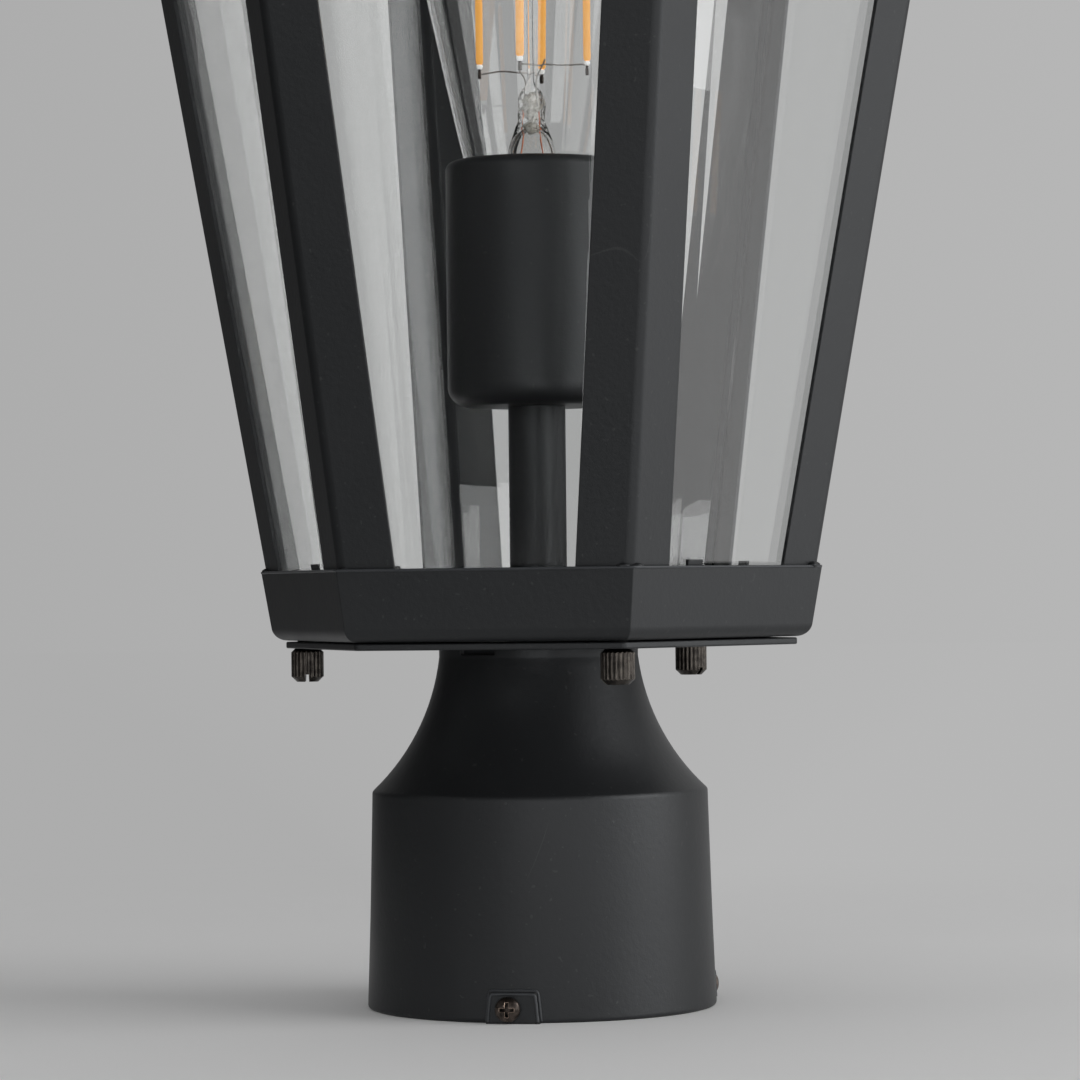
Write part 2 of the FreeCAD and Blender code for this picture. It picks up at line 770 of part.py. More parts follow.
def make_lower_pan():
    """The pressed pan that closes the cage below, with a hole that clears the lamp."""
    foot_apothem = apothem("pan_radius")
    outer = dish("pan_outer", PAN_FOOT, PAN_RIM, foot_apothem, "pan_bend")
    rise = "pan_gauge * %s" % FACE_TAPER
    inner = dish("pan_inner", PAN_FLOOR, PAN_RIM + " + 1",
                 "(%s - pan_gauge + %s)" % (foot_apothem, rise), "pan_bend - pan_gauge")
    shell = cut("pan_shell", outer, inner)
    drills = [cylinder("pan_drill", "pan_hole", "4", z=PAN_FOOT + " - 2")]
    for corner in THUMB_CORNERS:
        x, y = polar("thumb_circle", corner)
        drills.append(cylinder("screw_drill", "thumb_shank + 0.35", "4", x, y, PAN_FOOT + " - 2"))
    return keep(cut("lower_pan", shell, joined("MultiFuse", "pan_drills", drills)))


def make_corner_posts():
    """Six leaning angle posts, folded to 120 degrees and rounded along the fold."""
    corner = post_corner("post_foot")
    flange = "post_flange"
    gauge = "post_gauge * 2 / %s" % ROOT3
    for number in CORNERS:
        body = new_body("corner_post_%d" % (number + 1))
        sketch = new_sketch(body, "XY_Plane", "post_foot")
        along, across = "%s / 2" % flange, "%s * %s / 2" % (flange, ROOT3)
        inward = "post_gauge * %s / 2" % ROOT3
        sideways = "post_gauge / 2"
        outline(sketch, [
            (corner, "0"),
            ("%s - %s" % (corner, along), across),
            ("%s - %s - %s" % (corner, along, inward), "%s - %s" % (across, sideways)),
            ("%s - %s" % (corner, gauge), "0"),
            ("%s - %s - %s" % (corner, along, inward), "%s - (%s)" % (sideways, across)),
            ("%s - %s" % (corner, along), minus(across)),
        ])
        lean = FreeCAD.Vector(value("taper"), 0, 1)
        padded(body, sketch, "post_head - post_foot", UseCustomVector=True, Direction=lean,
               AlongSketchNormal=True)
        ridge = value(corner) - 0.05
        softened(body, "post_bend", lambda edge: edge.BoundBox.ZLength > 100 and
                 edge.BoundBox.YMax < 0.01 and edge.BoundBox.YMin > -0.01 and
                 edge.BoundBox.XMin > ridge)
        valley = value("%s - %s" % (corner, gauge)) + 0.05
        softened(body, "post_bend - post_gauge", lambda edge: edge.BoundBox.ZLength > 100 and
                 edge.BoundBox.YMax < 0.01 and edge.BoundBox.YMin > -0.01 and
                 edge.BoundBox.XMin < valley)
        turn_about_z(body, FIRST_CORNER + 60 * number)
        keep(body)


def pane_section(height, bevel):
    """Outline of a pane at one height. Local x is outwards and local y along the side."""
    corner = post_corner(height)
    face = "(%s - post_gauge - 0.15)" % apothem(corner)
    inner_corner = "(%s - post_gauge * 2 / %s)" % (corner, ROOT3)
    half = "(%s / 2 - pane_margin)" % inner_corner
    back = "(%s - pane_gauge)" % face
    edge = "(%s + pane_edge)" % back
    return [(back, minus(half)), (edge, minus(half)), (face, "%s - %s" % (bevel, half)),
            (face, "%s - %s" % (half, bevel)), (edge, half), (back, half)]


def make_panes():
    """Six clear panes behind the posts, bevelled along both sides."""
    for number in CORNERS:
        body = new_body("glass_pane_%d" % (number + 1))
        sections = []
        for height, bevel in (("pane_foot", "bevel_foot"), ("pane_head", "bevel_head")):
            sketch = new_sketch(body, "XY_Plane", height)
            outline(sketch, pane_section(height, bevel))
            sections.append(sketch)
        loft = body.newObject("PartDesign::AdditiveLoft", body.Name + "_loft")
        loft.Profile = sections[0]
        loft.Sections = sections[1:]
        loft.Ruled = True
        doc.recompute()
        turn_about_z(body, FIRST_FACE + 60 * number)
        keep(body)


def make_glass_clips():
    """Two J-shaped clips under each pane. Four stand up past the pan's rim, the rest stop short."""
    clips = []
    tall = {(0, 1), (2, -1), (3, 1), (5, -1)}
    face = "(%s - post_gauge - 0.1)" % apothem(post_corner(PAN_RIM))
    for number in CORNERS:
        for side in (-1, 1):
            rise = "clip_rise" if (number, side) in tall else "-3"
            name = "clip_%d_%d" % (number, side)
            body = new_body(name)
            sketch = new_sketch(body, "XZ_Plane", "-clip_width / 2")
            floor = PAN_FLOOR
            low = "(%s - %s * (%s - pane_foot))" % (face, FACE_TAPER, PAN_RIM)
            top = "(%s + %s)" % (PAN_RIM, rise)
            high = "(%s + %s * (%s))" % (face, FACE_TAPER, rise)
            outline(sketch, [
                ("%s - pane_gauge - 1.5" % low, floor),
                ("%s - pane_gauge - 0.6" % low, floor),
                ("%s - pane_gauge - 0.6" % low, "pane_foot - clip_gauge - 0.05"),
                ("%s + 0.3" % low, "pane_foot - clip_gauge - 0.05"),
                (high + " + clip_gauge * 0.9", top),
                (high, top),
                (low, "pane_foot - 0.05"),
                ("%s - pane_gauge - 1.5" % low, "pane_foot - 0.05"),
            ])
            padded(body, sketch, "clip_width")
            along = value("%s / 6" % post_corner(PAN_RIM))
            body.Placement = FreeCAD.Placement(FreeCAD.Vector(0, side * along, 0), FreeCAD.Rotation())
            turn_about_z(body, FIRST_FACE + 60 * number)
            clips.append(body)
    return keep(joined("Compound", "glass_clips", clips))


def make_weld_nuts():
    """Three threaded inserts on the pan's floor for the thumb screws."""
    nuts = []
    for number, corner in enumerate(THUMB_CORNERS):
        x, y = polar("thumb_circle", corner)
        outer = cylinder("insert_%d" % number, "insert_radius", "insert_height", x, y, PAN_FLOOR)
        bore = cylinder("insert_bore_%d" % number, "thumb_shank + 0.05", "insert_height + 2", x, y,
                        PAN_FLOOR + " - 1")
        nuts.append(cut("weld_nut_%d" % number, outer, bore))
    return keep(joined("Compound", "weld_nuts", nuts))


# ---------------------------------------------------------------- head
def make_top_frame():
    """The band round the top of the cage, turned in to a flat rim that the roof stands on."""
    wall = "pan_gauge * 2 / %s" % ROOT3
    foot, head = pan_corner("band_foot"), pan_corner("band_head")
    body = hexagonal("top_frame", [(foot, "band_foot"), (head, "band_head")],
                     [("%s - %s" % (foot, wall), "band_foot"),
                      ("%s - %s" % (pan_corner("band_head - pan_gauge"), wall),
                       "band_head - pan_gauge")])
    opening = new_sketch(body, "XY_Plane", "band_head")
    outline(opening, hexagon("head_opening"))
    pocketed(body, opening, "pan_gauge")
    holes = [("0", "bar_screw_offset", "2.1"), ("0", "-bar_screw_offset", "2.1")]
    drilled(body, "XY_Plane", "band_head", holes, "pan_gauge")
    return keep(body)


def make_roof_plate():
    """The flat ring that closes the eaves from below."""
    top = "band_head + roof_gauge"
    body = hexagonal("roof_plate", [("soffit_radius", "band_head"), ("soffit_radius", top)], [])
    opening = new_sketch(body, "XY_Plane", top)
    outline(opening, hexagon("head_opening"))
    pocketed(body, opening, "roof_gauge")
    holes = [("0", "bar_screw_offset", "4.2"), ("0", "-bar_screw_offset", "4.2")]
    drilled(body, "XY_Plane", top, holes, "roof_gauge")
    return keep(body)


def make_roof():
    """The six-sided roof: a drip lip at the eaves, six slopes and a small flat top."""
    lip_foot = "band_head + roof_rise - eave_lip"
    lip_top = "band_head + roof_rise"
    inner_eave = "eave_radius - roof_gauge * 2 / %s" % ROOT3
    body = hexagonal(
        "roof",
        [("eave_radius", lip_foot), ("eave_radius", lip_top), ("roof_top_radius", "roof_top")],
        [(inner_eave, lip_foot), (inner_eave, "band_head + roof_gauge"),
         ("roof_top_radius - 1.3", "roof_top - 1.3")])
    drilled(body, "XY_Plane", "roof_top", [("0", "0", "rod_radius + 0.4")], "3")
    return keep(body)


def make_cross_bar():
    """The flat bar across the head's opening that carries the finial's rod."""
    body = new_body("cross_bar")
    sketch = new_sketch(body, "XY_Plane", "band_head - pan_gauge - bar_gauge")
    half = "bar_width / 2"
    outline(sketch, [(minus(half), minus("bar_reach")), (half, minus("bar_reach")),
                     (half, "bar_reach"), (minus(half), "bar_reach")])
    ring(sketch, "0", "0", "rod_radius + 0.05")
    ring(sketch, "0", "bar_screw_offset", "1.65")
    ring(sketch, "0", "-bar_screw_offset", "1.65")
    padded(body, sketch, "bar_gauge")
    softened(body, "3", lambda edge: edge.BoundBox.ZLength > 1 and
             abs(edge.CenterOfMass.y) > value("bar_reach") - 0.1)
    return keep(body)


def make_bar_screws():
    """Two pan-head screws that hold the cross bar up against the top frame."""
    screws = []
    for number, side in enumerate((1, -1)):
        place = "%d * bar_screw_offset" % side
        shank = cylinder("bar_shank_%d" % number, "1.6", "pan_gauge + bar_gauge + 2", "0", place,
                         "band_head - pan_gauge - bar_gauge - 2")
        head = cylinder("bar_head_%d" % number, "3.4", "2.2", "0", place, "band_head")
        screws.append(joined("MultiFuse", "bar_screw_%d" % number, [shank, head]))
    return keep(joined("Compound", "cross_bar_screws", screws))


def make_finial_group():
    """The threaded rod, its nut and washer, the collar on the roof and the turned finial."""
    bar_foot = "band_head - pan_gauge - bar_gauge"
    rod = turned("finial_rod", [("0", bar_foot + " - 7"), ("rod_radius", bar_foot + " - 7"),
                                ("rod_radius", "rod_top"), ("0", "rod_top")])
    keep(rod)
    make_hex_nut("rod_nut", "5.8", "rod_radius", "5", bar_foot + " - 5")
    collar_top = "roof_top + collar_height"
    keep(turned("roof_collar", [
        ("rod_radius + 0.4", "roof_top"), ("collar_radius", "roof_top"),
        ("collar_radius", "roof_top + 2.4", "9.5", -1), ("8.5", collar_top),
        ("rod_radius + 0.4", collar_top)]))
    foot = collar_top + " + 0.1"
    ball_foot = foot + " + 5"
    ball_centre = ball_foot + " + sqrt(finial_ball ^ 2 - finial_neck ^ 2)"
    ball_head = ball_centre + " + sqrt(finial_ball ^ 2 - 3.2 ^ 2)"
    tip_foot = ball_head + " + 1.2"
    finial = turned("finial", [
        ("rod_radius + 0.05", foot), ("8.5", foot), ("8.5", foot + " + 1.6"),
        ("finial_neck", foot + " + 3.2"), ("finial_neck", ball_foot, "finial_ball", 1),
        ("3.2", ball_head), ("2.6", tip_foot, "finial_tip", 1),
        ("0", tip_foot + " + sqrt(finial_tip ^ 2 - 2.6 ^ 2) + finial_tip"),
        ("0", "rod_top + 1"), ("rod_radius + 0.05", "rod_top + 1")])
    keep(finial)


# ---------------------------------------------------------------- build, check, export
def check_document():
    """Stop if any object failed or any sub-part has no sound shape."""
    for thing in doc.Objects:
        bad = [state for state in thing.State if state in ("Invalid", "Error")]
        if bad:
            raise RuntimeError("%s is %s" % (thing.Name, bad))
    for thing in KEEP:
        if thing.Shape.isNull() or not thing.Shape.isValid() or not thing.Shape.Solids:
            raise RuntimeError("%s has no sound solid" % thing.Label)


def export():
    os.makedirs("parts", exist_ok=True)
    for thing in KEEP:
        thing.Shape.exportStep(os.path.join("parts", thing.Label + ".step"))


make_post_fitter()
make_nipple("fitter_nipple", WEB_FOOT + " - nipple_overhang",
            "nipple_overhang + web_thickness + plate_thickness + nipple_reach")
make_washer("lock_washer", "nut_radius", "nipple_radius", "1", WEB_FOOT + " - 1")
make_hex_nut("nipple_nut", "nut_radius", "nipple_radius", "nut_height",
             WEB_FOOT + " - 1 - nut_height")
make_ground_screw()
make_base_plate()
make_stem()
make_nipple("socket_nipple", "stem_top - 12", "12 + 14")
make_socket_cup()
make_lamp_holder()
make_terminal_screws()
make_screw_shell()
make_centre_contact()
make_set_screws()
make_thumb_screws()
make_lamp()
make_lower_pan()
make_corner_posts()
make_panes()
make_glass_clips()
make_weld_nuts()
make_top_frame()
make_roof_plate()
make_roof()
make_cross_bar()
make_bar_screws()
make_finial_group()
doc.recompute()
check_document()
export()
for thing in KEEP:
    print("%-18s %9.1f mm3, %d solid(s)" % (thing.Label, thing.Shape.Volume, len(thing.Shape.Solids)))
print("%d sub-parts" % len(KEEP))
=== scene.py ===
import json
import math

import bmesh
import bpy
from mathutils import Matrix, Vector


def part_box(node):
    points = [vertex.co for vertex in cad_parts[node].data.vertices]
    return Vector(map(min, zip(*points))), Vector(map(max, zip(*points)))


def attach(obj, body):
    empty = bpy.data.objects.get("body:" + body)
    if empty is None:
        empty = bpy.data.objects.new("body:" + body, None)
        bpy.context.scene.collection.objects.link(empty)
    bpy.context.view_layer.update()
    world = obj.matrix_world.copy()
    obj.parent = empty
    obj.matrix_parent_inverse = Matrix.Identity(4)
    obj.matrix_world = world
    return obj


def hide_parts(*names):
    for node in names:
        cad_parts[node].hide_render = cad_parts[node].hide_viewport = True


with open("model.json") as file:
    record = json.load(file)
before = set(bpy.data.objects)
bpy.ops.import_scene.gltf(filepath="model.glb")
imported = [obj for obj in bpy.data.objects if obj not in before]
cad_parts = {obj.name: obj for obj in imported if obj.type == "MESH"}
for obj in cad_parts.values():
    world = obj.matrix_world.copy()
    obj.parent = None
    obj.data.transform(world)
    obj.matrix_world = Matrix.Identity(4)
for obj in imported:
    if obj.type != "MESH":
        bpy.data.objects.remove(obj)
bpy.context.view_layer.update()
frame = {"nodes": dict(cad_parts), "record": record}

NODES = frame["nodes"]
SCENE = bpy.context.scene
MM = 0.001


# ---------------------------------------------------------------- camera
PHOTO_SIZE = 1080            # pixels along each side of the photograph
FOCAL_PIXELS = 3993.0
SENSOR = 36.0                # millimetres
NEAREST, FURTHEST = 0.05, 30  # metres that the camera sees
CAMERA_AZIMUTH = 11.8        # degrees from -Y towards +X
CAMERA_REACH = 0.9662        # metres from the lantern's axis
CAMERA_HEIGHT = 0.1003
CAMERA_PITCH = 0.71          # degrees upwards
CAMERA_ROLL = -0.65
CAMERA_TURN = 0.04           # degrees that the camera looks to the right of the axis


def make_camera():
    data = bpy.data.cameras.new("camera")
    data.sensor_width = SENSOR
    data.lens = SENSOR * FOCAL_PIXELS / PHOTO_SIZE
    data.clip_start = NEAREST
    data.clip_end = FURTHEST
    camera = bpy.data.objects.new("camera", data)
    SCENE.collection.objects.link(camera)
    azimuth = math.radians(CAMERA_AZIMUTH)
    place = Matrix.Translation((CAMERA_REACH * math.sin(azimuth),
                                -CAMERA_REACH * math.cos(azimuth), CAMERA_HEIGHT))
    heading = Matrix.Rotation(azimuth - math.radians(CAMERA_TURN), 4, "Z")
    tilt = Matrix.Rotation(math.radians(90 + CAMERA_PITCH), 4, "X")
    roll = Matrix.Rotation(math.radians(CAMERA_ROLL), 4, "Z")
    camera.matrix_world = place @ heading @ tilt @ roll
    SCENE.camera = camera


# ---------------------------------------------------------------- node helpers
def new_material(name):
    """A material with an empty tree and its output node."""
    made = bpy.data.materials.new(name)
    made.use_nodes = True
    tree = made.node_tree
    tree.nodes.clear()
    output = tree.nodes.new("ShaderNodeOutputMaterial")
    return made, tree, output


def add(tree, kind, values=None, **settings):
    """A node with its settings, and its inputs given as values or as links from sockets."""
    node = tree.nodes.new(kind)
    for key, setting in settings.items():
        setattr(node, key, setting)
    for key, given in (values or {}).items():
        if isinstance(given, bpy.types.NodeSocket):
            tree.links.new(given, node.inputs[key])
        else:
            node.inputs[key].default_value = given
    return node


def noise(tree, place, scale, detail):
    return add(tree, "ShaderNodeTexNoise", {
        "Vector": place, "Scale": scale, "Detail": detail}).outputs["Fac"]


def ramp(tree, factor, stops):
    """A colour ramp with (position, grey or colour) stops."""
    node = add(tree, "ShaderNodeValToRGB", {"Fac": factor})
    points = node.color_ramp.elements
    while len(points) < len(stops):
        points.new(0.5)
    for point, (position, colour) in zip(points, stops):
        point.position = position
        point.color = rgba(colour)
    return node.outputs["Color"]


def rgba(colour):
    if isinstance(colour, (int, float)):
        return (colour, colour, colour, 1.0)
    return (*colour, 1.0)


def sum_of(tree, first, second, kind="ADD"):
    """The sum of two values, or what another kind of sum makes of them."""
    return add(tree, "ShaderNodeMath", {0: first, 1: second}, operation=kind).outputs[0]


def mixed(tree, factor, first, second):
    """Two colours mixed by a factor."""
    node = tree.nodes.new("ShaderNodeMix")
    node.data_type = "RGBA"
    for index, given in ((0, factor), (6, first), (7, second)):
        if isinstance(given, bpy.types.NodeSocket):
            tree.links.new(given, node.inputs[index])
        else:
            node.inputs[index].default_value = given if index == 0 else rgba(given)
    return node.outputs[2]


def joined(tree, factor, first, second):
    """Two shaders mixed by a factor."""
    choice = add(tree, "ShaderNodeMixShader", {0: factor})
    tree.links.new(first.outputs[0], choice.inputs[1])
    tree.links.new(second.outputs[0], choice.inputs[2])
    return choice


def place_of(tree):
    return add(tree, "ShaderNodeTexCoord").outputs["Object"]


# ---------------------------------------------------------------- materials
COAT_DARK = (0.0082, 0.0088, 0.0097)         # the two colours of the coat's faint clouds
COAT_LIGHT = (0.0108, 0.0113, 0.0122)
COAT_SCRATCHED = (0.075, 0.074, 0.072)
# edge colour: partly rubbed wear, partly painted edge highlight
COAT_RUBBED_AND_HIGHLIGHT = (0.038, 0.034, 0.031)
COAT_TINT = (0.94, 0.97, 1.0)                # of what the coat mirrors
SCRATCH_STRENGTH = 0.22
RECESS_SHADE = (0.006, 0.006, 0.006)               # painted shade that darkens a metal's recesses
EDGE_MARK_FULL, EDGE_MARK_NONE = 0.80, 0.985         # how level its rounded normal is where the edge mark, rubbed wear with a painted highlight, is full or ends


def edge_mask(tree, rounded):
    """1 along edges and 0 on flat faces: how far a rounded normal leans away from the face's own."""
    flat = add(tree, "ShaderNodeNewGeometry").outputs["Normal"]
    along = add(tree, "ShaderNodeVectorMath", {0: rounded, 1: flat},
                operation="DOT_PRODUCT").outputs["Value"]
    return add(tree, "ShaderNodeMapRange", {
        "Value": along, "From Min": EDGE_MARK_NONE, "From Max": EDGE_MARK_FULL}).outputs[0]


def hairlines(tree, place, scale, width):
    """Sparse, thin, curved scratches: one level line of a noise, kept in a few patches only."""
    level = noise(tree, place, scale, 0.0)
    line = add(tree, "ShaderNodeMath", {0: level, 1: 0.5, 2: width}, operation="COMPARE").outputs[0]
    patches = ramp(tree, noise(tree, place, 37.0, 1.0), [(0.61, 0.0), (0.64, 1.0)])
    return sum_of(tree, line, patches, "MULTIPLY")


def powder_coat(name, radius, gloss=0.41, tone=0.95):
    """Satin black powder coat: a fine grain, faint clouds, specks, hairlines and rubbed edges, whose
    lighter colour also paints edge highlights.
    """
    made, tree, output = new_material(name)
    place = place_of(tree)
    grain = noise(tree, place, 2600.0, 2.0)
    peel = noise(tree, place, 700.0, 1.0)
    cloud = noise(tree, place, 28.0, 3.0)
    rounded = add(tree, "ShaderNodeBevel", {"Radius": radius}, samples=6).outputs["Normal"]
    dark = tuple(tone * part for part in COAT_DARK)
    light = tuple(tone * part for part in COAT_LIGHT)
    base = ramp(tree, cloud, [(0.35, dark), (0.7, light)])
    speck = ramp(tree, noise(tree, place, 900.0, 0.0), [(0.79, 0.0), (0.84, 1.0)])
    marks = sum_of(tree, speck, hairlines(tree, place, 21.0, 0.0006), "MAXIMUM")
    worn = sum_of(tree, marks, SCRATCH_STRENGTH, "MULTIPLY")
    base = mixed(tree, worn, base, COAT_SCRATCHED)
    patchy = ramp(tree, noise(tree, place, 300.0, 3.0), [(0.35, 0.1), (0.7, 0.55)])
    # edges lighter in patches: partly rubbed wear, partly painted edge highlight
    rub_and_highlight = sum_of(tree, edge_mask(tree, rounded), patchy, "MULTIPLY")
    base = mixed(tree, rub_and_highlight, base, COAT_RUBBED_AND_HIGHLIGHT)
    shine = ramp(tree, cloud, [(0.3, gloss), (0.75, gloss + 0.07)])
    height = sum_of(tree, sum_of(tree, grain, 0.6, "MULTIPLY"), peel)
    bump = add(tree, "ShaderNodeBump", {
        "Strength": 0.3, "Distance": 0.12 * MM, "Height": height, "Normal": rounded})
    shader = add(tree, "ShaderNodeBsdfPrincipled", {
        "Base Color": base, "Roughness": shine, "Normal": bump.outputs["Normal"],
        "Specular IOR Level": 0.5, "Specular Tint": rgba(COAT_TINT)})
    tree.links.new(shader.outputs[0], output.inputs["Surface"])
    return made


def metal(name, colour, dark, rough, scale=180.0, edge=None):
    """A bare or plated metal with patchy tarnish and fine marks.

    With an edge colour, its edges are rubbed to that colour, which also paints glints on them, and its
    recesses are darkened with painted shade.
    """
    made, tree, output = new_material(name)
    place = place_of(tree)
    patches = noise(tree, place, scale, 4.0)
    marks = noise(tree, place, 1800.0, 3.0)
    base = ramp(tree, patches, [(0.3, dark), (0.62, colour)])
    gloss = ramp(tree, patches, [(0.25, rough + 0.14), (0.7, rough)])
    relief = {"Strength": 0.12, "Distance": 0.05 * MM, "Height": marks}
    if edge:
        rounded = add(tree, "ShaderNodeBevel", {"Radius": 0.3 * MM}, samples=6).outputs["Normal"]
        # edge colour: partly rubbed metal, partly painted glints along the edges
        rub_and_highlight = sum_of(tree, edge_mask(tree, rounded), 0.8, "MULTIPLY")
        base = mixed(tree, rub_and_highlight, base, edge)
        # painted shade: recesses darkened where ambient occlusion finds them close
        nook = add(tree, "ShaderNodeAmbientOcclusion", {"Distance": 0.9 * MM}, samples=8)
        unshaded = ramp(tree, nook.outputs["AO"], [(0.45, 0.0), (0.85, 1.0)])
        base = mixed(tree, unshaded, RECESS_SHADE, base)
        relief["Normal"] = rounded
    bump = add(tree, "ShaderNodeBump", relief)
    shader = add(tree, "ShaderNodeBsdfPrincipled", {
        "Base Color": base, "Metallic": 1.0, "Roughness": gloss,
        "Normal": bump.outputs["Normal"]})
    tree.links.new(shader.outputs[0], output.inputs["Surface"])
    return made


def coated(name, colour, dark, rough, scale=220.0, strength=0.15, painted_glow=0.0):
    """A painted, moulded or glazed surface that isn't metallic. A painted glow can brighten it though it
    is no lamp.
    """
    made, tree, output = new_material(name)
    place = place_of(tree)
    cloud = noise(tree, place, scale, 3.0)
    fine = noise(tree, place, 2200.0, 2.0)
    base = ramp(tree, cloud, [(0.3, dark), (0.65, colour)])
    gloss = ramp(tree, cloud, [(0.3, rough + 0.08), (0.7, rough)])
    bump = add(tree, "ShaderNodeBump", {
        "Strength": strength, "Distance": 0.08 * MM, "Height": fine})
    shader = add(tree, "ShaderNodeBsdfPrincipled", {
        "Base Color": base, "Roughness": gloss, "Normal": bump.outputs["Normal"],
        "Emission Color": rgba(colour), "Emission Strength": painted_glow})
    tree.links.new(shader.outputs[0], output.inputs["Surface"])
    return made


def clear_glass(name, tint, waviness, wave_scale, index, crumpled=None):
    """Clear glass that bends what is behind it. It can be crumpled between two heights."""
    made, tree, output = new_material(name)
    place = place_of(tree)
    wave = noise(tree, place, wave_scale, 1.0)
    depth = 0.1 * MM
    if crumpled:
        foot, head = crumpled
        depth = 0.5 * MM
        height = add(tree, "ShaderNodeSeparateXYZ", {0: place}).outputs["Z"]
        rise = add(tree, "ShaderNodeMapRange", {
            "Value": height, "From Min": foot - 2 * MM, "From Max": foot + MM})
        fall = add(tree, "ShaderNodeMapRange", {
            "Value": height, "From Min": head + MM, "From Max": head - MM})
        zone = sum_of(tree, rise.outputs[0], fall.outputs[0], "MULTIPLY")
        dents = sum_of(tree, noise(tree, place, 800.0, 2.0), zone, "MULTIPLY")
        wave = sum_of(tree, sum_of(tree, wave, 0.02, "MULTIPLY"), dents)
    bump = add(tree, "ShaderNodeBump", {"Strength": waviness, "Distance": depth, "Height": wave})
    smear = ramp(tree, noise(tree, place, 60.0, 4.0), [(0.62, 0.0), (0.95, 0.02)])
    shader = add(tree, "ShaderNodeBsdfPrincipled", {
        "Base Color": rgba(tint), "Roughness": smear, "IOR": index,
        "Transmission Weight": 1.0, "Normal": bump.outputs["Normal"]})
    through = add(tree, "ShaderNodeBsdfTransparent", {"Color": rgba(tint)})
    shadow_ray = add(tree, "ShaderNodeLightPath").outputs["Is Shadow Ray"]
    choice = joined(tree, shadow_ray, shader, through)
    tree.links.new(choice.outputs[0], output.inputs["Surface"])
    return made


def make_materials():
    crumpled = (MOUNT_FOOT + (PINCH_FOOT - 0.5) * MM, MOUNT_FOOT + (PINCH_HEAD + 0.5) * MM)
    return {
        "black_coat": powder_coat("black_powder_coat", 0.4 * MM),
        "cast_coat": powder_coat("cast_powder_coat", 0.9 * MM),
        # a lighter copy of the coat: painted highlight on the pad lips and the pan's roll
        "highlight_coat": powder_coat("highlight_powder_coat", 0.3 * MM, 0.32, 4.0),
        # the edge colours of these two screws are partly rubbed metal, partly painted glints
        "knurled_coat": metal("blackened_zinc", (0.075, 0.067, 0.060), (0.022, 0.020, 0.019), 0.32,
                              700.0, (0.26, 0.23, 0.20)),
        "dark_screw": metal("blackened_steel", (0.13, 0.105, 0.09), (0.022, 0.019, 0.018), 0.24,
                            600.0, (0.80, 0.60, 0.48)),
        "zinc_steel": metal("zinc_plate", (0.62, 0.62, 0.60), (0.42, 0.42, 0.41), 0.3),
        "green_screw": metal("green_zinc", (0.03, 0.30, 0.10), (0.02, 0.17, 0.06), 0.3),
        "clear_glass": clear_glass("pane_glass", (0.986, 0.993, 0.990), 0.01, 6.0, 1.52),
        "bulb_glass": clear_glass("lamp_glass", (0.99, 0.99, 0.99), 0.02, 30.0, 1.5),
        "mount_glass": clear_glass("mount_glass", (0.99, 0.985, 0.975), 1.0, 60.0, 1.3, crumpled),
        "seal_glass": coated("seal_glass", (0.95, 0.93, 0.88), (0.30, 0.27, 0.21), 0.12, 950.0, 1.0),
        # painted glow brightens the filaments
        "filament": coated("filament_coating", (0.95, 0.46, 0.10), (0.88, 0.39, 0.07), 0.5,
                           painted_glow=0.42),
        "burnt_tab": metal("burnt_tab", (0.10, 0.08, 0.07), (0.03, 0.025, 0.022), 0.3, 900.0),
        "wire_metal": metal("nickel_wire", (0.50, 0.48, 0.46), (0.24, 0.22, 0.21), 0.3),
        "copper": metal("dumet_wire", (0.80, 0.30, 0.18), (0.55, 0.18, 0.10), 0.3),
        "shell_metal": metal("nickel_plate", (0.80, 0.79, 0.76), (0.62, 0.61, 0.58), 0.22),
        "brass": metal("spring_brass", (0.76, 0.56, 0.24), (0.50, 0.34, 0.13), 0.28),
        "black_vitrite": coated("vitrite", (0.012, 0.012, 0.014), (0.008, 0.008, 0.010), 0.12),
        "solder": metal("solder", (0.72, 0.72, 0.72), (0.50, 0.50, 0.51), 0.34),
        # painted glow whitens the beads
        "silver_paste": coated("silver_paste", (0.90, 0.90, 0.89), (0.80, 0.80, 0.79), 0.25,
                               painted_glow=0.4),
        "holder_plastic": coated("porcelain", (0.78, 0.75, 0.68), (0.70, 0.66, 0.58), 0.2),
    }


# pieces whose finish differs from the rest of their slot
FINISHES = {
    "post_fitter": "cast_coat", "finial": "cast_coat", "roof_collar": "cast_coat",
    "thumb_screw_1": "knurled_coat", "thumb_screw_2": "knurled_coat",
    "thumb_screw_3": "knurled_coat",
}


def dress_nodes(materials):
    """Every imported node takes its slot's material, or a finish of its own."""
    slots = {entry["node"]: entry["material_slot"] for entry in frame["record"]["subparts"]}
    for name, piece in NODES.items():
        made = materials[FINISHES.get(name, slots[name])]
        if not piece.material_slots:
            piece.data.materials.append(made)
        for place in piece.material_slots:
            place.material = made


# ---------------------------------------------------------------- pieces, wires and rings
def around(reach, degrees, height):
    """A point at a radius, an angle and a height, all but the angle in millimetres."""
    angle = math.radians(degrees)
    return Vector((reach * math.cos(angle), reach * math.sin(angle), height)) * MM


def add_piece(name, data, body, material):
    """A new piece in the row frame, with its finish, on a body."""
    piece = bpy.data.objects.new(name, data)
    SCENE.collection.objects.link(piece)
    data.materials.append(material)
    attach(piece, body)
    return piece


def wire_piece(name, routes, radius, body, material):
    """Thin wires, each a smooth curve through its route."""
    data = bpy.data.curves.new(name, "CURVE")
    data.dimensions = "3D"
    data.bevel_depth = radius
    data.bevel_resolution = 3
    data.use_fill_caps = True
    data.resolution_u = 8
    for route in routes:
        line = data.splines.new("NURBS")
        line.points.add(len(route) - 1)
        for point, spot in zip(line.points, route):
            point.co = (*spot, 1.0)
        line.order_u = 3
        line.use_endpoint_u = True
    return add_piece(name, data, body, material)


